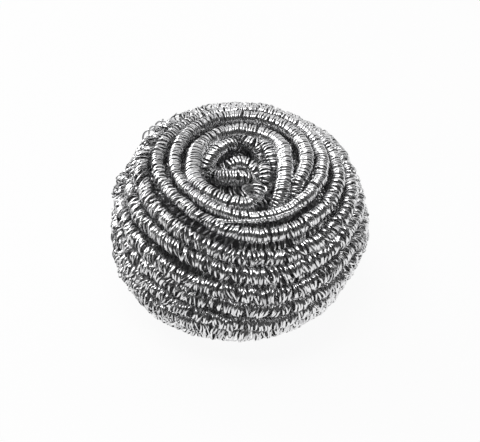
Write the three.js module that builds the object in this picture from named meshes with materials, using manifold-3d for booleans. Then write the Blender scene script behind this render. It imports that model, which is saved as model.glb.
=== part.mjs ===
// Stainless steel spiral scourer: one flat steel ribbon, sprung into a long hollow coil, and the
// coil wound on itself into a bun. Its last turn lies on the crown and ends open, beside a hollow.
// Millimetres, +Z up, origin on the table under the middle of the bun. The front is -Y.
import * as THREE from "three";
import { LoftGeometry } from "three/addons/geometries/LoftGeometry.js";
import { mergeVertices } from "three/addons/utils/BufferGeometryUtils.js";
import Module from "manifold-3d";

const wasm = await Module();
wasm.setup();

// The bun
const OVERALL_DIAMETER = 90;
const OVERALL_HEIGHT = 57;
const BELT_HEIGHT = 25; // height at which the bun is widest
const CROWN_RADIUS = 22; // where the level crown rolls over into the shoulder
const BASE_RADIUS = 28; // where the skirt has rolled under to the table
const BASE_FLAT = 0.6; // how far the turns underneath are pressed flat by the table
const UNDERSIDE_MIDDLE = 4; // radius in the middle of the underside that no full turn fits in
const UNDERSIDE_RISE = 0.6; // how far the inner turns are drawn up there
const HOLLOW_COILS = 1.2; // depth of the hollow in the crown, in coil diameters
const CROWN_LEAN = 1.5; // how far the crown has slipped to the back, off the middle of the belt
const BASE_LEAN = 3; // how far the base has slipped to the left

// The coil, and how its turns lie
const COIL_DIAMETER = 5.9;
const COIL_WALL = 0.9; // depth of ribbon seen at the open end
const COIL_END_DEPTH = 3; // how far the open end can be seen into
const COIL_END_FLARE = 1.2; // how far its mouth has sprung open
const TURN_GAP = 0.75; // between one turn and the next
const FIRST_TURN_RADIUS = 21.8; // of the turn that starts the winding on the crown
const CORE_SINK = 2.2; // how far the inner turns lie below the middle of the outer ones
const TURN_SWELL = 1.1; // how unevenly the turns stand out of the bun
const LONG_SWELLS = 1.37; // rises and falls in each turn
const SHORT_SWELLS = 2.71; // and the shorter ones on top of them
const SHORT_SWELL_SHARE = 0.4; // of the unevenness

// The ribs of the coil. Each stands for two or three loops of the ribbon, which are finer.
const RIBS_PER_TURN = 58; // in each turn of the winding
const RIB_WIDTH = 3.2; // across the coil, along the rib's crest
const RIB_DEPTH = 1.1; // from its crest to the gap beside it
const STRAND_RIB_PITCH = 3.2; // from rib to rib on the strands in the crown
const STRAND_RIB_DEPTH = 0.7; // and their depth, as the ribbon lies closer there

// Each turn runs level round the back, and steps down to the next one as it crosses the front.
const STEP_STARTS = -55 / 360;
const STEP_ENDS = 25 / 360;

// The winding comes up from under its second turn, at the right of the front.
const RISE_STARTS = 37 / 360;
const RISE_ENDS = 62 / 360;
const RISE_DEPTH = 4; // how deep the top of the coil lies where it comes up

// Underneath, its tail curls in to the middle.
const TAIL_TURNS = 1.1;
const TAIL_RADIUS = 3.5;

// The strands on and in the crown. Each point gives the turn angle in degrees, how many pitches it
// lies inside the first turn, and how many coil diameters it lies below the crown.
const LAST_TURN = [
  [27, -0.37, 1.14], [38, 0.05, 0.42], [56, 0.58, 0.06], [84, 0.98, 0], [113, 0.96, 0.03],
  [137, 0.96, 0.08], [163, 1, 0.13], [189, 1, 0.14], [218, 1.06, 0.09], [246, 1.04, 0.04],
  [274, 0.93, 0], [297, 0.64, 0.03], [317, 0.41, 0.08], [338, 0.28, 0.16], [354, 0.17, 0.3],
  [367, 0.2, 0.42], [375, 0.4, 0.3], [376, 0.55, -0.02], [376, 0.6, -0.4],
];
const HOLLOW_STRANDS = [
  [
    [293, 1.21, 1.79], [280, 1.41, 0.86], [256, 1.68, 0.47],
    [220, 1.77, 0.38], [193, 1.58, 0.6], [182, 1.39, 1.7],
  ],
  [
    [260, 1.81, 1.19], [301, 2.02, 0.72], [329, 2.28, 0.62],
    [5, 2.42, 0.62], [32, 2.37, 0.86], [47, 2.33, 1.36],
  ],
  [
    [272, 2.3, 1.36], [265, 2.51, 0.89], [235, 2.85, 0.72], [159, 2.94, 0.72],
    [111, 2.76, 0.82], [85, 2.53, 1.03], [84, 2.37, 1.53],
  ],
  [
    [163, 0.06, 1.03], [150, 0.94, 0.52], [130, 1.41, 0.38],
    [110, 1.54, 0.45], [97, 1.52, 0.77], [97, 1.58, 1.45],
  ],
  [[145, 1.34, 1.45], [105, 2.02, 0.77], [72, 1.89, 0.65], [60, 1.75, 0.86], [56, 1.87, 1.45]],
  [
    [183, 0.66, 1.03], [175, 1.32, 0.52], [161, 1.6, 0.42],
    [149, 1.63, 0.58], [141, 1.68, 0.96], [138, 1.76, 1.53],
  ],
];

// Fineness of the faceted surfaces
const COIL_SIDES = 7;
const TAIL_STEP = 4;
const HOLLOW_SEGMENTS = 28;
const STEPS_PER_GROOVE_CORNER = 4; // half ribs from one corner of a groove to the next
const SAME_CORNER = 1e-4; // corners nearer than this are one

const coilRadius = COIL_DIAMETER / 2;
const turnPitch = COIL_DIAMETER + TURN_GAP;
const crownLevel = OVERALL_HEIGHT - coilRadius;
const baseLevel = coilRadius - BASE_FLAT;
const beltRadius = OVERALL_DIAMETER / 2 - coilRadius;
const hollowRadius = FIRST_TURN_RADIUS - turnPitch;
const hollowLevel = crownLevel - HOLLOW_COILS * COIL_DIAMETER;

// Half section of the bun through the middle of its outer turns, as radius and height: along the
// crown, down over the shoulder to the belt, in over the skirt, and across the underside.
function windingSection() {
  const crownMiddle = new THREE.Vector2(0, crownLevel);
  const crownEdge = new THREE.Vector2(CROWN_RADIUS, crownLevel);
  const baseEdge = new THREE.Vector2(BASE_RADIUS, baseLevel);
  const baseMiddle = new THREE.Vector2(0, baseLevel);
  const shoulderWidth = beltRadius - CROWN_RADIUS;
  const shoulderHeight = crownLevel - BELT_HEIGHT;
  const skirtWidth = beltRadius - BASE_RADIUS;
  const skirtHeight = BELT_HEIGHT - baseLevel;
  const quarter = Math.PI / 2;
  const section = new THREE.CurvePath();
  section.add(new THREE.LineCurve(crownMiddle, crownEdge));
  section.add(new THREE.EllipseCurve(
    CROWN_RADIUS, BELT_HEIGHT, shoulderWidth, shoulderHeight, quarter, 0, true,
  ));
  section.add(new THREE.EllipseCurve(
    BASE_RADIUS, BELT_HEIGHT, skirtWidth, skirtHeight, 0, -quarter, true,
  ));
  section.add(new THREE.LineCurve(baseEdge, baseMiddle));
  return section;
}

const section = windingSection();
const sectionLength = section.getLength();
const tableDistance = sectionLength - BASE_RADIUS; // where the turns come to lie on the table

// A point of the section at a distance from the crown's middle, moved into the bun by a depth.
function sectionPoint(distance, depth) {
  const share = THREE.MathUtils.clamp(distance / sectionLength, 0, 1);
  const point = section.getPoint(share);
  const along = section.getTangent(share);
  return new THREE.Vector2(point.x + along.y * depth, point.y - along.x * depth);
}

// The bun leans: above the belt its turns slip to the back, and below it to the left.
function leant(point) {
  const above = Math.max(point.z - BELT_HEIGHT, 0) / (crownLevel - BELT_HEIGHT);
  const below = Math.max(BELT_HEIGHT - point.z, 0) / BELT_HEIGHT;
  point.x -= BASE_LEAN * below;
  point.y += CROWN_LEAN * above;
  return point;
}

// A place on the bun. The turn angle is counted from the front, anticlockwise seen from above.
function onBun(angle, radius, height) {
  return leant(new THREE.Vector3(radius * Math.sin(angle), -radius * Math.cos(angle), height));
}

// How many pitches the winding has moved along the section after a number of turns.
function pitchesWound(turns) {
  const front = Math.round(turns);
  return front + THREE.MathUtils.smoothstep(turns - front, STEP_STARTS, STEP_ENDS);
}

// The unevenness of the winding: how deep a turn has sunk into the bun, up to TURN_SWELL.
function sunk(turns) {
  const angle = 2 * Math.PI * turns;
  const wave = THREE.MathUtils.lerp(
    Math.sin(LONG_SWELLS * angle), Math.sin(SHORT_SWELLS * angle), SHORT_SWELL_SHARE,
  );
  return TURN_SWELL * (1 + wave) / 2;
}

// How far the winding has come along the section, from the crown's middle, after a number of turns
function distanceWound(turns) {
  return FIRST_TURN_RADIUS + turnPitch * (pitchesWound(turns) - 1);
}

// How far the table leaves the winding as it was wound: 1 above it, 0 where it lies pressed on it
function unpressed(turns) {
  const distance = distanceWound(turns);
  return 1 - THREE.MathUtils.smoothstep(distance, tableDistance - turnPitch, tableDistance);
}

const windingRoom = sectionLength - UNDERSIDE_MIDDLE - coilRadius - FIRST_TURN_RADIUS;
const windingTurns = Math.floor(windingRoom / turnPitch);

// The coil's other end, curled in to the middle of the underside
class Tail extends THREE.Curve {
  getPoint(share, target = new THREE.Vector3()) {
    const turn = RISE_STARTS + windingTurns + TAIL_TURNS * share;
    const startRadius = sectionLength - FIRST_TURN_RADIUS - turnPitch * windingTurns;
    const radius = THREE.MathUtils.lerp(startRadius, TAIL_RADIUS, share);
    return target.copy(onBun(2 * Math.PI * turn, radius, baseLevel));
  }
}

function crownStrand(points) {
  const places = points.map(([degrees, pitchesIn, coilsDown]) => onBun(
    THREE.MathUtils.degToRad(degrees),
    FIRST_TURN_RADIUS - turnPitch * pitchesIn,
    crownLevel - COIL_DIAMETER * coilsDown,
  ));
  return new THREE.CatmullRomCurve3(places, false, "centripetal");
}

// A closed surface as a solid, without the empty triangles where a turned surface meets its axis.
function solidOf(geometry) {
  const surface = new THREE.BufferGeometry();
  surface.setAttribute("position", geometry.attributes.position);
  surface.setIndex(geometry.index);
  const merged = mergeVertices(surface, SAME_CORNER);
  const index = merged.index.array;
  const corners = [];
  for (let i = 0; i < index.length; i += 3) {
    const [a, b, c] = index.slice(i, i + 3);
    if (a !== b && b !== c && c !== a) corners.push(a, b, c);
  }
  const vertProperties = merged.attributes.position.array;
  const triVerts = new Uint32Array(corners);
  return new wasm.Manifold(new wasm.Mesh({ numProp: 3, vertProperties, triVerts }));
}

// The outer skin of a solid, which fills any pocket closed in between touching strands.
function outerSkin(solid) {
  return solid.decompose().reduce((outer, skin) => (skin.volume() > outer.volume() ? skin : outer));
}

function geometryOf(solid) {
  const mesh = solid.getMesh();
  const geometry = new THREE.BufferGeometry();
  geometry.setAttribute("position", new THREE.BufferAttribute(mesh.vertProperties, 3));
  geometry.setIndex(new THREE.BufferAttribute(mesh.triVerts, 1));
  geometry.computeVertexNormals();
  return geometry;
}

// A length of coil along its route, as a tube of its outer diameter, ribbed if the ribs have a depth,
// and with its far end sprung open by a flare
function coilAlong(route, step, ribDepth, flare) {
  const length = route.getLength();
  const steps = 2 * Math.ceil(length / step / 2);
  const frames = route.computeFrenetFrames(steps);
  const rings = [];
  for (let i = 0; i <= steps; i++) {
    const middle = route.getPointAt(i / steps);
    const fromEnd = length * (1 - i / steps);
    const sprungOpen = flare * Math.max(1 - fromEnd / COIL_END_DEPTH, 0);
    const radius = coilRadius - (i % 2) * ribDepth + sprungOpen;
    const ring = [];
    for (let j = 0; j < COIL_SIDES; j++) {
      const angle = (2 * Math.PI * j) / COIL_SIDES;
      const corner = middle.clone().addScaledVector(frames.normals[i], radius * Math.cos(angle));
      ring.push(corner.addScaledVector(frames.binormals[i], radius * Math.sin(angle)));
    }
    rings.push(ring);
  }
  return solidOf(new LoftGeometry(rings, { capStart: true, capEnd: true }));
}

// The winding, with its ribs and the grooves between its turns, as one skin over the inner turns,
// which can't be seen. It is lofted through lines that run round the bun: for each turn the groove
// above it, then the upper and the lower ends of its ribs. Each line goes on where the same line of
// the turn before it ended, and the skin closes at the middle of the crown and of the underside.
function winding() {
  const across = [-turnPitch / 2, -RIB_WIDTH / 2, RIB_WIDTH / 2];
  const steps = 2 * RIBS_PER_TURN;
  const crownMiddle = onBun(0, 0, crownLevel - CORE_SINK);
  const baseMiddle = onBun(0, 0, baseLevel + CORE_SINK + UNDERSIDE_RISE);

  function grooveCorner(step) {
    if (step < 0) return crownMiddle;
    if (step > steps * (windingTurns + 1)) return baseMiddle;
    const turn = RISE_STARTS + (step - (step % STEPS_PER_GROOVE_CORNER)) / steps;
    const place = sectionPoint(distanceWound(turn) + across[0], CORE_SINK);
    return onBun(2 * Math.PI * turn, place.x, place.y);
  }

  function ribCorner(step, line) {
    if (step < 0) return grooveCorner(step + steps);
    if (step > steps * windingTurns) return grooveCorner(step);
    const turn = RISE_STARTS + step / steps;
    const risen = THREE.MathUtils.smoothstep(turn, RISE_STARTS, RISE_ENDS);
    const lowered = unpressed(turn) * (sunk(turn) + (step % 2) * RIB_DEPTH);
    const depth = THREE.MathUtils.lerp(RISE_DEPTH, lowered - coilRadius, risen);
    const place = sectionPoint(distanceWound(turn) + across[line], depth);
    return onBun(2 * Math.PI * turn, place.x, place.y);
  }

  const lines = [];
  for (let turn = -1; turn <= windingTurns + 1; turn++) {
    for (let line = 0; line < across.length; line++) {
      const corners = [];
      for (let i = 0; i <= steps; i++) {
        const step = steps * turn + i;
        corners.push(line === 0 ? grooveCorner(step) : ribCorner(step, line));
      }
      lines.push(corners);
    }
  }
  lines.reverse(); // from the underside to the crown, so that the skin faces outwards
  return solidOf(new LoftGeometry(lines, { closed: false }));
}

// The hollow that the last turn leaves in the crown
function hollow() {
  const profile = [
    new THREE.Vector2(0, hollowLevel),
    new THREE.Vector2(hollowRadius - coilRadius, hollowLevel),
    new THREE.Vector2(hollowRadius, crownLevel - CORE_SINK),
    new THREE.Vector2(hollowRadius, OVERALL_HEIGHT),
    new THREE.Vector2(0, OVERALL_HEIGHT),
  ];
  const geometry = new THREE.LatheGeometry(profile, HOLLOW_SEGMENTS);
  geometry.rotateX(Math.PI / 2);
  geometry.translate(0, CROWN_LEAN, 0);
  return solidOf(geometry);
}

// The bore that shows in the coil's open end
function openEnd(route) {
  const end = route.getPointAt(1);
  const innerRadius = coilRadius - COIL_WALL;
  const outerRadius = innerRadius + 2 * COIL_END_FLARE;
  const geometry = new THREE.CylinderGeometry(outerRadius, innerRadius, 2 * COIL_END_DEPTH, COIL_SIDES);
  const upright = new THREE.Vector3(0, 1, 0);
  const turn = new THREE.Quaternion().setFromUnitVectors(upright, route.getTangentAt(1));
  geometry.applyQuaternion(turn);
  geometry.translate(end.x, end.y, end.z);
  return solidOf(geometry);
}

// The table, which the turns underneath are pressed flat against
function table() {
  const side = 2 * OVERALL_DIAMETER;
  const geometry = new THREE.BoxGeometry(side, side, COIL_DIAMETER);
  geometry.translate(0, 0, -COIL_DIAMETER / 2);
  return solidOf(geometry);
}

function scourer() {
  const lastTurn = crownStrand(LAST_TURN);
  const strandStep = STRAND_RIB_PITCH / 2;
  let solid = winding().subtract(hollow()).add(coilAlong(new Tail(), TAIL_STEP, 0, 0));
  for (const points of HOLLOW_STRANDS) {
    solid = solid.add(coilAlong(crownStrand(points), strandStep, STRAND_RIB_DEPTH, 0));
  }
  solid = solid.add(coilAlong(lastTurn, strandStep, STRAND_RIB_DEPTH, COIL_END_FLARE));
  solid = solid.subtract(openEnd(lastTurn)).subtract(table());
  const steel = new THREE.MeshStandardMaterial({ color: 0x9a9a9c, roughness: 0.25, metalness: 1 });
  const mesh = new THREE.Mesh(geometryOf(outerSkin(solid)), steel);
  mesh.name = "wound_coil";
  return mesh;
}

const part = new THREE.Group();
part.add(scourer());

export default part;
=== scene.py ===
"""A stainless steel spiral scourer: one flat steel ribbon sprung into a long coil, and the coil wound on
itself into a bun. The ribbon is modelled loop by loop, along the route on which the coil is wound."""

import math

import bmesh
import bpy
import numpy as np
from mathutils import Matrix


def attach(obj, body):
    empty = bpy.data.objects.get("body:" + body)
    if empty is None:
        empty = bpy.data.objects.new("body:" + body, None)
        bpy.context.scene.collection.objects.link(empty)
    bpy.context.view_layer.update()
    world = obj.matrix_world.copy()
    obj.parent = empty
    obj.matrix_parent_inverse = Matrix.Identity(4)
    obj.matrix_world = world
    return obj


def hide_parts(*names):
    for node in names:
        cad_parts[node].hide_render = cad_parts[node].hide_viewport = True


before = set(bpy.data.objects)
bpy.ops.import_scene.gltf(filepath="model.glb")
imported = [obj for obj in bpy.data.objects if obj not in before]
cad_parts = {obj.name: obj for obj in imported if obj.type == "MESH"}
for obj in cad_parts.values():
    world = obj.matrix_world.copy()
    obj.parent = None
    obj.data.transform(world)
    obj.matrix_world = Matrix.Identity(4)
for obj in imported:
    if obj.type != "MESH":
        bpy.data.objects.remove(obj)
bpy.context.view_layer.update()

# The bright rolled steel of the ribbon.
# The strip is rolled flat from fine stainless wire, so its outer face is bright, with faint lines along
# its length and a few duller stretches. Its inner face, inside the coil, and the turns deep in the bun
# are painted dark as their shade, by a share for each point, which also makes the steel rougher.

STEEL_COLOUR = (0.88, 0.88, 0.885, 1)
DULL_STEEL_COLOUR = (0.56, 0.56, 0.57, 1)
# The dark colour of painted shade, inside the coil and deep in the bun.
PAINTED_SHADE_COLOUR = (0.14, 0.14, 0.143, 1)
DULL_PATCHES_PER_METRE = 260
DULL_PATCH_EDGES = (0.5, 0.68)
DULL_PATCH_SHARE = 0.7
ROLLING_LINES_ACROSS = 4.5
ROLLING_LINES_ALONG = 0.35
ROLLING_LINE_SHARE = 0.2
ROLLING_LINE_RELIEF = 0.12
ROLLING_LINE_DEPTH = 0.0001
BRIGHT_ROUGHNESS = 0.12
LINES_ROUGHER = 0.1
DULL_ROUGHER = 0.1
PAINTED_SHADE_ROUGHER = 0.2


class Shade:
    """A shader socket that can be reckoned with as if it were a number."""

    def __init__(self, tree, socket=None):
        self.tree = tree
        self.socket = socket

    def node(self, kind, settings, sockets, output=0):
        """Any node: its settings are set first, then the values or links of its sockets."""
        made = self.tree.nodes.new(kind)
        for name, value in settings.items():
            setattr(made, name, value)
        for name, value in sockets.items():
            if isinstance(value, Shade):
                self.tree.links.new(value.socket, made.inputs[name])
            else:
                made.inputs[name].default_value = value
        return Shade(self.tree, made.outputs[output] if made.outputs else None)

    def __add__(self, other):
        return self.node("ShaderNodeMath", {"operation": "ADD"}, {0: self, 1: other})

    def __mul__(self, other):
        return self.node("ShaderNodeMath", {"operation": "MULTIPLY"}, {0: self, 1: other})

    __radd__ = __add__


def new_material(name):
    material = bpy.data.materials.new(name)
    material.use_nodes = True
    material.node_tree.nodes.clear()
    return material, Shade(material.node_tree)


def ramp(value, edges):
    """Goes smoothly from 0 at the first edge to 1 at the second."""
    return value.node(
        "ShaderNodeMapRange",
        {"interpolation_type": "SMOOTHSTEP"},
        {"Value": value, "From Min": edges[0], "From Max": edges[1]},
    )


def mixed(share, first_colour, second_colour):
    """A mix of two colours. A Mix node's colour sockets share their names, so they go by number."""
    return share.node(
        "ShaderNodeMix",
        {"data_type": "RGBA"},
        {"Factor": share, 6: first_colour, 7: second_colour},
        2,
    )


def rolled_steel():
    material, shade = new_material("rolled_steel")
    place = shade.node("ShaderNodeTexCoord", {}, {}, "Object")
    along = shade.node("ShaderNodeUVMap", {"uv_map": "ribbon"}, {})
    # Each point's share of painted shade, which darkens the colour and makes the steel rougher.
    painted_shade = shade.node("ShaderNodeAttribute", {"attribute_name": "painted_shade_share"}, {}, "Fac")
    drawn_out = shade.node(
        "ShaderNodeMapping", {}, {"Vector": along, "Scale": (ROLLING_LINES_ALONG, ROLLING_LINES_ACROSS, 1)}
    )
    lines = shade.node(
        "ShaderNodeTexNoise", {}, {"Vector": drawn_out, "Scale": 1.0, "Detail": 2.0, "Roughness": 0.6}
    )
    patches = shade.node(
        "ShaderNodeTexNoise", {}, {"Vector": place, "Scale": DULL_PATCHES_PER_METRE, "Detail": 1.0}
    )
    dull = ramp(patches, DULL_PATCH_EDGES)
    outer_colour = mixed(
        dull * DULL_PATCH_SHARE + lines * ROLLING_LINE_SHARE, STEEL_COLOUR, DULL_STEEL_COLOUR
    )
    roughness = BRIGHT_ROUGHNESS + lines * LINES_ROUGHER + dull * DULL_ROUGHER + painted_shade * PAINTED_SHADE_ROUGHER
    relief = shade.node(
        "ShaderNodeBump",
        {},
        {"Height": lines, "Strength": ROLLING_LINE_RELIEF, "Distance": ROLLING_LINE_DEPTH},
    )
    # The base colour goes dark by each point's share of painted shade.
    surface = shade.node(
        "ShaderNodeBsdfPrincipled",
        {},
        {
            "Base Color": mixed(painted_shade, outer_colour, PAINTED_SHADE_COLOUR),
            "Metallic": 1.0,
            "Roughness": roughness,
            "Normal": relief,
        },
    )
    shade.node("ShaderNodeOutputMaterial", {}, {"Surface": surface})
    return material


steel = rolled_steel()

# The ribbon, sprung into a coil.
# The flat strip, six tenths of a millimetre wide and a tenth thick, is drawn over an edge, so it springs
# into a hollow coil. Its loops stay uneven: they lean, crowd together, stand apart, kink and twist a little.

COIL_WIDTH = 0.0059
COIL_SLACK = 0.00015
RIBBON_WIDTH = 0.0006
RIBBON_THICKNESS = 0.0001
RIBBON_CROWNING = 0.00012
SEGMENTS_PER_LOOP = 17
SHINGLE_TILT = 0.22
FLARE = 0.0015
FLARE_TILT = 0.9
# The share of painted shade on the ribbon's inner face, which lies inside the coil.
INNER_FACE_PAINTED_SHADE = 0.7
SHARP_EDGE = math.radians(50)

# Each unevenness is one or two amounts, and with each the number of loops in which it changes once.
# The pitch's is a share, the twist's is an angle, and the others are lengths.
UNEVEN_PITCH = [(0.35, 2.5)]
LEAN_OUT = [(0.0004, 9), (0.0007, 0.9)]
LEAN_ACROSS = [(0.0007, 12), (0.0009, 0.9)]
OUT_OF_ROUND = [(0.00016, 0.37), (0.00012, 7)]
TWIST = [(0.35, 0.37)]
SHIFT_OUT = [(0.0003, 4.1)]
SHIFT_ACROSS = [(0.0003, 3.3)]
KINK_LOOPS = 0.13


def smooth(value, low, high):
    """Rises smoothly from 0 at the low value to 1 at the high one."""
    share = np.clip((value - low) / (high - low), 0, 1)
    return share * share * (3 - 2 * share)


def uneven(turn, every, seed):
    """Smooth unevenness from -1 to 1, which changes once in so many turns."""
    knots = np.random.default_rng(seed).uniform(-1, 1, int(turn.max() / every) + 3)
    step = turn / every
    first = step.astype(int)
    share = smooth(step - first, 0, 1)
    return knots[first] * (1 - share) + knots[first + 1] * share


def varied(loop, unevenness, seed):
    """An unevenness of the loops, with a seed for each of its amounts."""
    return sum(
        amount * uneven(loop, every, seed + number) for number, (amount, every) in enumerate(unevenness)
    )


def unit(vectors):
    return vectors / np.linalg.norm(vectors, axis=1, keepdims=True)


def distances(points):
    steps = np.linalg.norm(np.diff(points, axis=0), axis=1)
    return np.concatenate([[0], np.cumsum(steps)])


def loops_wound(distance, pitch):
    return np.concatenate([[0], np.cumsum(np.diff(distance) / pitch[1:])])


def on_route(values, here, distance):
    """One value for the whole route, or one for each of its points, at the distances asked for."""
    return np.interp(here, distance, np.broadcast_to(values, distance.shape))


def vectors_on_route(vectors, here, distance):
    return np.stack([on_route(vectors[:, axis], here, distance) for axis in range(3)], axis=1)


def mesh_of(bm, name):
    mesh = bpy.data.meshes.new(name)
    bm.to_mesh(mesh)
    bm.free()
    return mesh


def flat_strip(name, segments):
    """A straight closed strip, from -0.5 to 0.5 along X, with two faces across and a thickness."""
    bm = bmesh.new()
    bmesh.ops.create_grid(bm, x_segments=segments, y_segments=2, size=0.5)
    bmesh.ops.solidify(bm, geom=bm.faces[:], thickness=0.1)
    return mesh_of(bm, name)


def strip_places(mesh):
    """For each point of a flat strip: share of the length, side from -1 to 1, and 1 on the inner face."""
    flat = np.empty(len(mesh.vertices) * 3)
    mesh.vertices.foreach_get("co", flat)
    length_way, width_way, thick_way = flat.reshape(-1, 3).T
    share = (length_way + 0.5).clip(0, 1)
    side = np.round(2 * width_way)
    inner = np.where(thick_way > thick_way.mean(), 0.0, 1.0)
    return share, side, inner


def piece_of_coil(name, mesh, material):
    mesh.materials.append(material)
    piece = bpy.data.objects.new(name, mesh)
    bpy.context.collection.objects.link(piece)
    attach(piece, "root")
    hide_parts("wound_coil")


def sprung_ribbon(
    name,
    points,
    outward,
    pitch,
    looseness,
    seed,
    shade_painted=0.0,
    flare_length=0.0,
    slimmer=0.0,
    tilt=0.0,
    lean=0.0,
    kinks=0.0,
    segments=SEGMENTS_PER_LOOP,
):
    """A length of ribbon, coiled along a route. What shapes it is one value, or one for each route point."""
    distance = distances(points)
    pitch = np.broadcast_to(pitch, distance.shape)
    loops = loops_wound(distance, pitch)
    pitch = pitch * (1 + looseness * varied(loops, UNEVEN_PITCH, seed))
    loops = loops_wound(distance, pitch)

    mesh = flat_strip(name, int(loops[-1] * segments))
    share, side, inner = strip_places(mesh)
    loop = share * loops[-1]
    angle = 2 * math.pi * loop
    cosine = np.cos(angle)
    sine = np.sin(angle)

    # Where on the route each point of the strip is, once the loops lean.
    here = np.interp(loop, loops, distance)
    loose = on_route(looseness, here, distance)
    leaning_out = loose * varied(loop, LEAN_OUT, seed + 1) + on_route(lean, here, distance)
    leaning_across = loose * varied(loop, LEAN_ACROSS, seed + 3)
    here = here + leaning_out * cosine + leaning_across * sine
    here = here.clip(0, distance[-1])

    # The ways along the route, out of the bun and across, and those from the coil's middle and round it.
    along = unit(vectors_on_route(np.gradient(points, axis=0), here, distance))
    out = vectors_on_route(np.broadcast_to(outward, points.shape), here, distance)
    out = unit(out - along * np.sum(out * along, axis=1, keepdims=True))
    across = np.cross(along, out)
    radial = cosine[:, None] * out + sine[:, None] * across
    round_way = cosine[:, None] * across - sine[:, None] * out

    # The coil's radius, and the ways in which the ribbon's width and thickness lie.
    flared = smooth(here, distance[-1] - flare_length, distance[-1] + RIBBON_WIDTH)
    radius = COIL_WIDTH / 2 - COIL_SLACK - on_route(slimmer, here, distance) + FLARE * flared
    radius = radius + loose * varied(loop, OUT_OF_ROUND, seed + 5)
    radius = radius + on_route(kinks, here, distance) * uneven(loop, KINK_LOOPS, seed + 10)
    slope = np.arctan2(on_route(pitch, here, distance), 2 * math.pi * radius)[:, None]
    roll = SHINGLE_TILT * (1 - flared) + FLARE_TILT * flared + on_route(tilt, here, distance)
    roll = (roll + loose * varied(loop, TWIST, seed + 7))[:, None]
    width_way = np.cos(slope) * along - np.sin(slope) * round_way
    flat_way = np.cos(roll) * width_way + np.sin(roll) * radial
    thick_way = np.cos(roll) * radial - np.sin(roll) * width_way

    # Each point's place. The loops underneath are pressed flat on the table.
    place = vectors_on_route(points, here, distance) + radius[:, None] * radial
    place = place + (loose * varied(loop, SHIFT_OUT, seed + 8))[:, None] * out
    place = place + (loose * varied(loop, SHIFT_ACROSS, seed + 9))[:, None] * across
    rise = RIBBON_CROWNING * (1 - abs(side)) - RIBBON_THICKNESS * inner
    place = place + (side * RIBBON_WIDTH / 2)[:, None] * flat_way + rise[:, None] * thick_way
    place[:, 2] = np.maximum(place[:, 2], RIBBON_THICKNESS * inner)
    mesh.vertices.foreach_set("co", place.ravel())

    # The painted shade, on the inner face and wherever a share is given, and the length along the ribbon,
    # for the steel.
    painted_shade = np.maximum(INNER_FACE_PAINTED_SHADE * inner * (1 - flared), on_route(shade_painted, here, distance))
    mesh.attributes.new("painted_shade_share", "FLOAT", "POINT").data.foreach_set("value", painted_shade)
    corner = np.empty(len(mesh.loops), dtype=int)
    mesh.loops.foreach_get("vertex_index", corner)
    ribbon_widths = angle * COIL_WIDTH / 2 / RIBBON_WIDTH
    uv = mesh.uv_layers.new(name="ribbon")
    uv.data.foreach_set("uv", np.stack([ribbon_widths, side], axis=1)[corner].ravel())

    bm = bmesh.new()
    bm.from_mesh(mesh)
    bmesh.ops.recalc_face_normals(bm, faces=bm.faces[:])
    bm.to_mesh(mesh)
    bm.free()
    mesh.shade_smooth()
    mesh.set_sharp_from_angle(angle=SHARP_EDGE)
    piece_of_coil(name, mesh, steel)


# The route of the winding.
# The coil is wound from the crown outwards and down over the shoulder, the belt and the skirt, and in
# across the underside. Each turn runs level round the back and steps down as it crosses the front.

BUN_WIDTH = 0.090
BUN_HEIGHT = 0.057
BELT_HEIGHT = 0.025
CROWN_RADIUS = 0.022
BASE_RADIUS = 0.028
BASE_FLAT = 0.0006
CROWN_LEAN = 0.0015
BASE_LEAN = 0.003
TURN_PITCH = 0.00665
FIRST_TURN_RADIUS = 0.0218
STEP_STARTS = -55 / 360
STEP_ENDS = 25 / 360
RISE_STARTS = 37 / 360
RISE_ENDS = 62 / 360
RISE_COILS = 1.15
RISE_PITCHES = 0.55
WINDING_TURNS = 13
LAST_TURN_END = WINDING_TURNS + RISE_STARTS
ROUTE_POINTS_PER_TURN = 240
SECTION_POINTS = 300
SECTION_NUDGE = 0.0001

# A turn is sunk by half the swell, give or take two waves: a share, waves to a turn and a start.
TURN_SWELL = 0.0011
SWELL_WAVES = [(0.3, 1.37, 0.6), (0.2, 2.71, 0)]

crown_level = BUN_HEIGHT - COIL_WIDTH / 2
base_level = COIL_WIDTH / 2 - BASE_FLAT
belt_radius = BUN_WIDTH / 2 - COIL_WIDTH / 2


def quarter_round(middle_radius, width, height, start_degrees, end_degrees):
    angle = np.radians(np.linspace(start_degrees, end_degrees, SECTION_POINTS))
    return np.stack([middle_radius + width * np.cos(angle), BELT_HEIGHT + height * np.sin(angle)], axis=1)


section = np.concatenate([
    [(0, crown_level)],
    quarter_round(CROWN_RADIUS, belt_radius - CROWN_RADIUS, crown_level - BELT_HEIGHT, 90, 0),
    quarter_round(BASE_RADIUS, belt_radius - BASE_RADIUS, BELT_HEIGHT - base_level, 0, -90)[1:],
    [(0, base_level)],
])
section_distance = distances(section)
table_distance = section_distance[-1] - BASE_RADIUS


def on_section(distance):
    return np.stack([np.interp(distance, section_distance, section[:, axis]) for axis in (0, 1)])


def section_place(distance):
    """Radius and height on the section, and the way out of the bun there, at a distance from its top."""
    radius, height = on_section(distance)
    along = on_section(distance + SECTION_NUDGE) - on_section(distance - SECTION_NUDGE)
    along /= np.linalg.norm(along, axis=0)
    return radius, height, -along[1], along[0]


def on_bun(angle, radius, height):
    """Points at an angle, a radius and a height. The crown leans back, and the base leans to the left."""
    angle, radius, height = np.broadcast_arrays(angle, radius, height)
    above = np.maximum(height - BELT_HEIGHT, 0) / (crown_level - BELT_HEIGHT)
    below = np.maximum(BELT_HEIGHT - height, 0) / BELT_HEIGHT
    across = radius * np.sin(angle) - BASE_LEAN * below
    back = -radius * np.cos(angle) + CROWN_LEAN * above
    return np.stack([across, back, height], axis=1)


def pitches_wound(turns):
    front = np.floor(turns + 0.5)
    return front + smooth(turns - front, STEP_STARTS, STEP_ENDS)


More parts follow.
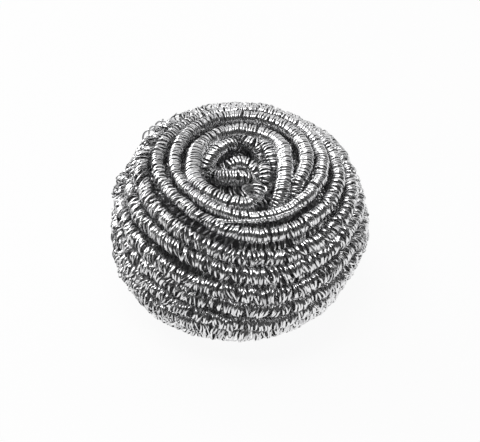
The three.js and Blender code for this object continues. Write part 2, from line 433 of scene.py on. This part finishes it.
def sunk(turns):
    angle = 2 * math.pi * turns
    waves = sum(share * np.sin(rate * angle + start) for share, rate, start in SWELL_WAVES)
    return TURN_SWELL * (0.5 + waves)


def winding_route(turn, deeper=0.0, further=0.0):
    """Points of the coil's middle line at the turns given, and the way out of the bun at each."""
    buried = 1 - smooth(turn, RISE_STARTS, RISE_ENDS)
    distance = FIRST_TURN_RADIUS + further + TURN_PITCH * (pitches_wound(turn) - 1 + RISE_PITCHES * buried)
    off_table = 1 - smooth(distance, table_distance - TURN_PITCH, table_distance)
    depth = off_table * sunk(turn) + RISE_COILS * COIL_WIDTH * buried + deeper
    radius, height, out_radius, out_height = section_place(distance)
    angle = 2 * math.pi * turn
    points = on_bun(angle, radius - depth * out_radius, height - depth * out_height)
    outward = np.stack([out_radius * np.sin(angle), -out_radius * np.cos(angle), out_height], axis=1)
    return points, outward


# The winding, in lengths.
# It is wound tight on the crown, and is stretched, kinked and jostled as it goes over the shoulder and round
# the flank. The left flank is tousled, and at the front the grooves are filled by the turns underneath.

WINDING_LENGTHS = {
    "crown_turns": (RISE_STARTS, 2.6),
    "shoulder_turns": (2.6, 5.1),
    "belt_turns": (5.1, 7.6),
    "skirt_turns": (7.6, 10.1),
    "underside_turns": (10.1, LAST_TURN_END),
}

# The coil's pitch and its looseness, when so many turns are wound.
WHEN_WOUND = [
    (0, 0.00086, 0.6), (1, 0.00086, 0.7), (1.5, 0.00088, 0.8), (2, 0.0009, 1.0), (2.5, 0.00092, 1.3),
    (3, 0.00094, 1.4), (5, 0.00094, 1.5), (6, 0.00094, 1.5), (7.3, 0.00096, 1.4), (8, 0.00098, 1.3),
    (10.3, 0.00104, 1.0), (11, 0.0015, 0.8), (13, 0.0018, 0.8),
]
WANDER = 0.0008
WANDER_TURNS = 0.31
WANDER_SEED = 50
SLIMMING = 0.0005
SLIMMING_TURNS = 0.27
SLIMMING_SEED = 60

# What starts, eases or ends does so while the turns given are wound, and what eases does so by a share.
# A side is a share of a turn, from the front.
CROWN_SLIMMING = 0.0002
CROWN_SLIMMING_ENDS = (2.0, 3.5)
JOSTLE = 0.0009
JOSTLE_TURNS = 0.055
JOSTLE_SEED = 51
JOSTLE_DEPTH_SEED = 52
JOSTLE_DEPTH_SHARE = 0.7
JOSTLE_STARTS = (3.5, 5.0)
JOSTLE_ENDS = (9.0, 10.0)
PRESSED_IN = 0.0009
PRESSED_STARTS = (8.0, 9.4)
PRESSED_ENDS = (10.7, 11.4)
KINKS = 0.00035
KINKS_START = (2.5, 4.5)
KINKS_EASE = (8.5, 9.8)
KINKS_EASED = 0.8
TOUSLED_SIDE = 0.69
TOUSLED_WIDTH = 0.22
TOUSLED_STARTS = (1.9, 2.6)
TOUSLED_LOOSENESS = 0.9
TOUSLED_PITCH = 0.85
TOUSLED_TILT = 0.05
TOUSLED_LEAN = 0.002
FILLED_SIDE = 0.07
FILLED_WIDTH = 0.21
FILLED_STARTS = (1.2, 2.2)
FILLED_EASES = (4.5, 6.0)
FILLED_EASED = 0.6


def close_to(value, middle, width):
    """1 in the middle, and falls off smoothly to nothing at a width to each side."""
    return 1 - smooth(abs(value - middle), 0, width)


def tousled_at(turns):
    return close_to(turns % 1, TOUSLED_SIDE, TOUSLED_WIDTH) * smooth(turns, *TOUSLED_STARTS)


def filled_at(turns):
    """The front is where one turn ends and the next starts, so sides are told from the back here."""
    at_side = close_to((turns + 0.5) % 1, FILLED_SIDE + 0.5, FILLED_WIDTH)
    return at_side * smooth(turns, *FILLED_STARTS) * (1 - FILLED_EASED * smooth(turns, *FILLED_EASES))


wound, pitch_when_wound, looseness_when_wound = np.array(WHEN_WOUND).T

for number, (name, (first, last)) in enumerate(WINDING_LENGTHS.items()):
    turn = np.linspace(first, last, int((last - first) * ROUTE_POINTS_PER_TURN))
    jostled = JOSTLE * smooth(turn, *JOSTLE_STARTS) * (1 - smooth(turn, *JOSTLE_ENDS))
    pressed = PRESSED_IN * smooth(turn, *PRESSED_STARTS) * (1 - smooth(turn, *PRESSED_ENDS))
    further = WANDER * uneven(turn, WANDER_TURNS, WANDER_SEED)
    further = further + jostled * uneven(turn, JOSTLE_TURNS, JOSTLE_SEED)
    deeper = JOSTLE_DEPTH_SHARE * jostled * uneven(turn, JOSTLE_TURNS, JOSTLE_DEPTH_SEED)
    points, outward = winding_route(turn, deeper - COIL_SLACK + pressed, further)
    tousled = tousled_at(turn)
    filled = np.maximum(filled_at(turn), tousled)
    slimmer = SLIMMING * (1 + uneven(turn, SLIMMING_TURNS, SLIMMING_SEED)) / 2 * (1 - filled)
    sprung_ribbon(
        name,
        points,
        outward,
        pitch=np.interp(turn, wound, pitch_when_wound) * (1 - (1 - TOUSLED_PITCH) * tousled),
        looseness=np.interp(turn, wound, looseness_when_wound) + TOUSLED_LOOSENESS * tousled,
        seed=100 * (number + 1),
        slimmer=slimmer + CROWN_SLIMMING * (1 - smooth(turn, *CROWN_SLIMMING_ENDS)),
        tilt=TOUSLED_TILT * tousled,
        lean=TOUSLED_LEAN * tousled,
        kinks=KINKS * smooth(turn, *KINKS_START) * (1 - KINKS_EASED * smooth(turn, *KINKS_EASE)),
    )

# The stray loops.
# At the back left the coil was tugged, so three of its loops stand out wide of the turn, on edge, like wire.

STRAY_TURNS = (3.612, 3.655)
STRAY_POINTS = 60
STRAY_REACH = 0.0022
STRAY_PITCH = 0.003
STRAY_LOOSENESS = 0.4
STRAY_TILT = 1.1

stray_points, stray_outward = winding_route(np.linspace(*STRAY_TURNS, STRAY_POINTS))
sprung_ribbon(
    "stray_loops",
    stray_points,
    stray_outward,
    STRAY_PITCH,
    STRAY_LOOSENESS,
    seed=850,
    slimmer=-STRAY_REACH,
    tilt=STRAY_TILT,
    segments=2 * SEGMENTS_PER_LOOP,
)

# The stretched length.
# In the groove at the front, under the first turn, the ribbon was pulled long, so its coil is narrow there
# and lies in the groove as a thin wavy line.

STRETCHED_DEGREES = (-14, 42)
STRETCHED_POINTS = 120
STRETCHED_RADIUS = 0.0313
STRETCHED_HEIGHT = 0.0543
STRETCHED_COIL = 0.0013
STRETCHED_PITCH = 0.0012
STRETCHED_LOOSENESS = 0.5
UPWARD = (0.0, 0.0, 1.0)

stretched_angle = np.radians(np.linspace(*STRETCHED_DEGREES, STRETCHED_POINTS))
sprung_ribbon(
    "stretched_length",
    on_bun(stretched_angle, STRETCHED_RADIUS, STRETCHED_HEIGHT),
    UPWARD,
    STRETCHED_PITCH,
    STRETCHED_LOOSENESS,
    seed=800,
    slimmer=(COIL_WIDTH - STRETCHED_COIL) / 2,
)

# The tail of the winding.
# Underneath, the coil goes on inwards from the last turn and ends near the middle.

TAIL_TURNS = 1.1
TAIL_POINTS = 240
TAIL_RADIUS = 0.0035
TAIL_PITCH = 0.0022
TAIL_LOOSENESS = 1.0
DOWNWARD = (0.0, 0.0, -1.0)

tail_turn = np.linspace(LAST_TURN_END, LAST_TURN_END + TAIL_TURNS, TAIL_POINTS)
tail_share = (tail_turn - LAST_TURN_END) / TAIL_TURNS
tail_start = winding_route(tail_turn[:1])[0][0]
tail_start_radius = math.hypot(tail_start[0] + BASE_LEAN, tail_start[1])
tail_radius = tail_start_radius + (TAIL_RADIUS - tail_start_radius) * tail_share
sprung_ribbon(
    "tail",
    on_bun(2 * math.pi * tail_turn, tail_radius, base_level),
    DOWNWARD,
    TAIL_PITCH,
    TAIL_LOOSENESS,
    seed=700,
)

# The last turn and the strands in the hollow.
# The last turn lies on the crown, inside the winding, and ends open: its end is turned up, stretched and
# flared. Strands of the inner turns show in the hollow that it leaves.

LAST_TURN = [
    (27, -0.37, 1.14), (38, 0.05, 0.42), (56, 0.58, 0.06), (84, 0.98, 0), (113, 0.96, 0.03),
    (137, 0.96, 0.08), (163, 1, 0.13), (189, 1, 0.14), (218, 1.06, 0.09), (246, 1.04, 0.04),
    (274, 0.93, 0), (297, 0.64, 0.03), (317, 0.41, 0.08), (338, 0.28, 0.16), (354, 0.17, 0.3),
    (367, 0.2, 0.42), (375, 0.4, 0.3), (376, 0.55, -0.02), (376, 0.6, -0.4),
]
LAST_TURN_PITCH = 0.00088
LAST_TURN_LOOSENESS = 0.65
OPEN_END_FLARE = 0.004
OPEN_END_STRETCH = 0.7
HOLLOW_STRANDS = {
    "hooked_strand": [
        (293, 1.21, 1.79), (280, 1.41, 0.86), (256, 1.68, 0.47), (220, 1.77, 0.38), (193, 1.58, 0.6),
        (182, 1.39, 1.7),
    ],
    "left_strand": [
        (260, 1.81, 1.19), (301, 2.02, 0.72), (329, 2.28, 0.62), (5, 2.42, 0.62), (32, 2.37, 0.86),
        (47, 2.33, 1.36),
    ],
    "middle_strand": [
        (272, 2.3, 1.36), (265, 2.51, 0.89), (235, 2.85, 0.72), (159, 2.94, 0.72), (111, 2.76, 0.82),
        (85, 2.53, 1.03), (84, 2.37, 1.53),
    ],
    "right_strand": [
        (163, 0.06, 1.03), (150, 0.94, 0.52), (130, 1.41, 0.38), (110, 1.54, 0.45), (97, 1.52, 0.77),
        (97, 1.58, 1.45),
    ],
    "end_strand": [
        (145, 1.34, 1.45), (105, 2.02, 0.77), (72, 1.89, 0.65), (60, 1.75, 0.86), (56, 1.87, 1.45),
    ],
    "back_strand": [
        (183, 0.66, 1.03), (175, 1.32, 0.52), (161, 1.6, 0.42), (149, 1.63, 0.58), (141, 1.68, 0.96),
        (138, 1.76, 1.53),
    ],
}
HOLLOW_PITCH = 0.00095
HOLLOW_LOOSENESS = 0.6
STEPS_BETWEEN_PLACES = 24


def crown_route(places):
    """A smooth route through places on the crown: turn angle, pitches in, coil widths down."""
    degrees, pitches_in, coils_down = np.array(places).T
    radius = FIRST_TURN_RADIUS - TURN_PITCH * pitches_in
    knots = on_bun(np.radians(degrees), radius, crown_level - COIL_WIDTH * coils_down)
    curve = bpy.data.curves.new("crown_route", "CURVE")
    curve.dimensions = "3D"
    curve.resolution_u = STEPS_BETWEEN_PLACES
    spline = curve.splines.new("BEZIER")
    spline.bezier_points.add(len(knots) - 1)
    for bezier_point, knot in zip(spline.bezier_points, knots):
        bezier_point.co = knot
        bezier_point.handle_left_type = "AUTO"
        bezier_point.handle_right_type = "AUTO"
    holder = bpy.data.objects.new("crown_route", curve)
    bpy.context.collection.objects.link(holder)
    bpy.context.view_layer.update()
    path = holder.to_mesh()
    points = np.array([vertex.co[:] for vertex in path.vertices])
    holder.to_mesh_clear()
    bpy.data.objects.remove(holder)
    bpy.data.curves.remove(curve)
    return points


last_points = crown_route(LAST_TURN)
last_distance = distances(last_points)
at_open_end = smooth(last_distance, last_distance[-1] - OPEN_END_FLARE, last_distance[-1])
sprung_ribbon(
    "last_turn",
    last_points,
    UPWARD,
    LAST_TURN_PITCH * (1 + OPEN_END_STRETCH * at_open_end),
    LAST_TURN_LOOSENESS,
    seed=900,
    flare_length=OPEN_END_FLARE,
)
for number, (name, places) in enumerate(HOLLOW_STRANDS.items()):
    strand_points = crown_route(places)
    sprung_ribbon(name, strand_points, UPWARD, HOLLOW_PITCH, HOLLOW_LOOSENESS, seed=1000 + 100 * number)

# The inner turns.
# Under the outer turns lie more of the same, seen only in the grooves, in the hollow and through the coil.
# They lie deep in shade, which is painted into their colour as a dark tone, less where they rise between
# the outer turns where the grooves are filled.

INNER_TURNS_END = WINDING_TURNS - 1
INNER_DEPTH = 0.0052
INNER_RISE = 0.0026
TOUSLED_RISE = 0.0024
INNER_PITCH = 0.0026
INNER_PITCH_CLOSER = 0.5
INNER_LOOSENESS = 1.5
# How dark the inner turns' colour is painted as shade, and how much less where they fill the grooves.
INNER_TURNS_PAINTED_SHADE = 0.95
INNER_BRIGHTER = 0.9
INNER_SEGMENTS = 12

inner_turn = np.linspace(RISE_ENDS, INNER_TURNS_END, INNER_TURNS_END * ROUTE_POINTS_PER_TURN)
inner_tousled = tousled_at(inner_turn)
inner_filled = np.maximum(filled_at(inner_turn), inner_tousled)
inner_depth = INNER_DEPTH - INNER_RISE * inner_filled - TOUSLED_RISE * inner_tousled
inner_points, inner_outward = winding_route(inner_turn, inner_depth, TURN_PITCH / 2)
sprung_ribbon(
    "inner_turns",
    inner_points,
    inner_outward,
    INNER_PITCH * (1 - INNER_PITCH_CLOSER * inner_filled),
    INNER_LOOSENESS,
    seed=2000,
    shade_painted=INNER_TURNS_PAINTED_SHADE - INNER_BRIGHTER * inner_filled,
    segments=INNER_SEGMENTS,
)

# The bed of the hollow.
# At the bottom of the crown hollow the coil lies in a loose flat spiral, which waves up and down.

BED_DEPTH = 0.0102
BED_START = 0.3
BED_TURNS = 4.5
BED_POINTS = 1000
BED_TURN_PITCH = 0.0052
BED_WAVES = [(0.0015, 7), (0.001, 17)]
BED_PITCH = 0.0013
BED_LOOSENESS = 1.4
# The bed's colour is painted dark by this share, as the shade at the bottom of the hollow.
BED_PAINTED_SHADE = 0.7

bed_turn = np.linspace(BED_START, BED_TURNS, BED_POINTS)
bed_waves = sum(height * np.sin(rate * bed_turn) for height, rate in BED_WAVES)
sprung_ribbon(
    "hollow_bed",
    on_bun(2 * math.pi * bed_turn, BED_TURN_PITCH * bed_turn, crown_level - BED_DEPTH + bed_waves),
    UPWARD,
    BED_PITCH,
    BED_LOOSENESS,
    seed=2500,
    shade_painted=BED_PAINTED_SHADE,
)

# The packed middle.
# Deeper still the turns are pressed together too close to be told apart, so they are one form, the bun's own
# shape made smaller, of rough steel whose colour is painted dark as the shade deep inside.

MIDDLE_DEPTH = 0.014
MIDDLE_SEGMENTS = 48
MIDDLE_POINTS = 25
MIDDLE_ROUGHNESS = 0.5
MERGE_DISTANCE = 1e-6

# The packed middle's dark colour is painted shade.
packed_steel, packed_shade = new_material("packed_turns")
packed_surface = packed_shade.node(
    "ShaderNodeBsdfPrincipled",
    {},
    {"Base Color": PAINTED_SHADE_COLOUR, "Metallic": 1.0, "Roughness": MIDDLE_ROUGHNESS},
)
packed_shade.node("ShaderNodeOutputMaterial", {}, {"Surface": packed_surface})

middle_distance = np.linspace(0, section_distance[-1], MIDDLE_POINTS)
middle_radius, middle_height, out_radius, out_height = section_place(middle_distance)
middle_radius = np.maximum(middle_radius - MIDDLE_DEPTH * out_radius, 0)
middle_height = middle_height - MIDDLE_DEPTH * out_height
bm = bmesh.new()
profile = [bm.verts.new((radius, 0, height)) for radius, height in zip(middle_radius, middle_height)]
for upper, lower in zip(profile, profile[1:]):
    bm.edges.new((upper, lower))
bmesh.ops.spin(
    bm,
    geom=bm.verts[:] + bm.edges[:],
    cent=(0, 0, 0),
    axis=(0, 0, 1),
    angle=2 * math.pi,
    steps=MIDDLE_SEGMENTS,
    use_merge=True,
)
bmesh.ops.remove_doubles(bm, verts=bm.verts[:], dist=MERGE_DISTANCE)
bmesh.ops.recalc_face_normals(bm, faces=bm.faces[:])
middle_mesh = mesh_of(bm, "packed_middle")
middle_mesh.shade_smooth()
piece_of_coil("packed_middle", middle_mesh, packed_steel)

# The camera.
# It stands at the photograph's angle, with a long lens, at the photograph's scale.

CAMERA_LENS = 135
CAMERA_SENSOR = 36
CAMERA_ELEVATION = math.radians(43)
PHOTO_PIXELS = 480
PHOTO_PIXELS_PER_METRE = 2878
AIM_HEIGHT = 0.0268

camera_data = bpy.data.cameras.new("camera")
camera_data.lens = CAMERA_LENS
camera_data.sensor_width = CAMERA_SENSOR
camera_distance = PHOTO_PIXELS / PHOTO_PIXELS_PER_METRE * CAMERA_LENS / CAMERA_SENSOR
camera = bpy.data.objects.new("camera", camera_data)
camera.location = (
    0,
    -camera_distance * math.cos(CAMERA_ELEVATION),
    AIM_HEIGHT + camera_distance * math.sin(CAMERA_ELEVATION),
)
camera.rotation_euler = (math.pi / 2 - CAMERA_ELEVATION, 0, 0)
bpy.context.collection.objects.link(camera)
bpy.context.scene.camera = camera

# The floor.
# A plain white floor, which is seen as white by the camera and in the steel, and keeps a faint shadow.

FLOOR_COLOUR = (0.9, 0.9, 0.9, 1)
FLOOR_SIZE = 4
FLOOR_WHITENESS = 0.93
WHITE = (1, 1, 1, 1)

floor_material, floor_shade = new_material("floor")
camera_ray, glossy_ray, transmission_ray = [
    floor_shade.node("ShaderNodeLightPath", {}, {}, ray)
    for ray in ("Is Camera Ray", "Is Glossy Ray", "Is Transmission Ray")
]
seen = camera_ray + glossy_ray + transmission_ray
shaded_floor = floor_shade.node("ShaderNodeBsdfDiffuse", {}, {"Color": FLOOR_COLOUR})
white_floor = floor_shade.node("ShaderNodeEmission", {}, {"Color": WHITE, "Strength": 1})
floor_surface = floor_shade.node(
    "ShaderNodeMixShader", {}, {0: seen * FLOOR_WHITENESS, 1: shaded_floor, 2: white_floor}
)
floor_shade.node("ShaderNodeOutputMaterial", {}, {"Surface": floor_surface})

bm = bmesh.new()
bmesh.ops.create_grid(bm, x_segments=1, y_segments=1, size=FLOOR_SIZE / 2)
floor_mesh = mesh_of(bm, "floor")
floor_mesh.materials.append(floor_material)
floor = bpy.data.objects.new("floor", floor_mesh)
bpy.context.collection.objects.link(floor)

# The lamps.
# A narrow soft box hangs overhead, a little to the left, and gives the loops their short ticks of light.
# Another stands low behind the bun at the left, and lights the left flank.

OVERHEAD_BOX_SIZE = (0.78, 0.36)
OVERHEAD_BOX_PLACE = (-0.22, -0.05, 0.9)
OVERHEAD_BOX_TURN = (0, 0, 0)
OVERHEAD_BOX_POWER = 4.5
SIDE_BOX_SIZE = (0.7, 0.4)
SIDE_BOX_PLACE = (-0.62, 0.62, 0.2)
SIDE_BOX_TURN = (math.radians(-80), 0, math.radians(45))
SIDE_BOX_POWER = 5.0


def soft_box(name, size, place, turn, power):
    lamp = bpy.data.lights.new(name, "AREA")
    lamp.shape = "RECTANGLE"
    lamp.size, lamp.size_y = size
    lamp.energy = power
    box = bpy.data.objects.new(name, lamp)
    box.location = place
    box.rotation_euler = turn
    bpy.context.collection.objects.link(box)


soft_box("overhead_box", OVERHEAD_BOX_SIZE, OVERHEAD_BOX_PLACE, OVERHEAD_BOX_TURN, OVERHEAD_BOX_POWER)
soft_box("side_box", SIDE_BOX_SIZE, SIDE_BOX_PLACE, SIDE_BOX_TURN, SIDE_BOX_POWER)

# The studio round it.
# It is white high up at the back, dark in front, where the camera stands, and white round the floor.
# Each pair of edges says where a part starts and where it is full, as a share of the way back or up.

STUDIO_DARK = (0.07, 0.07, 0.07, 1)
BEHIND_EDGES = (0.06, 0.62)
ABOVE_EDGES = (0, 0.6)
NEAR_FLOOR_EDGES = (0.16, 0.08)

world = bpy.data.worlds.new("studio")
bpy.context.scene.world = world
world.use_nodes = True
world.node_tree.nodes.clear()
sky = Shade(world.node_tree)
way = sky.node("ShaderNodeTexCoord", {}, {}, "Generated")
backward = sky.node("ShaderNodeSeparateXYZ", {}, {"Vector": way}, "Y")
upward = sky.node("ShaderNodeSeparateXYZ", {}, {"Vector": way}, "Z")
dark, white = [
    sky.node("ShaderNodeBackground", {}, {"Color": colour, "Strength": 1}) for colour in (STUDIO_DARK, WHITE)
]
white_behind = ramp(backward, BEHIND_EDGES) * ramp(upward, ABOVE_EDGES)
walls = sky.node("ShaderNodeMixShader", {}, {0: white_behind, 1: dark, 2: white})
studio = sky.node("ShaderNodeMixShader", {}, {0: ramp(upward, NEAR_FLOOR_EDGES), 1: walls, 2: white})
sky.node("ShaderNodeOutputWorld", {}, {"Surface": studio})

bpy.context.scene.view_settings.view_transform = "Standard"
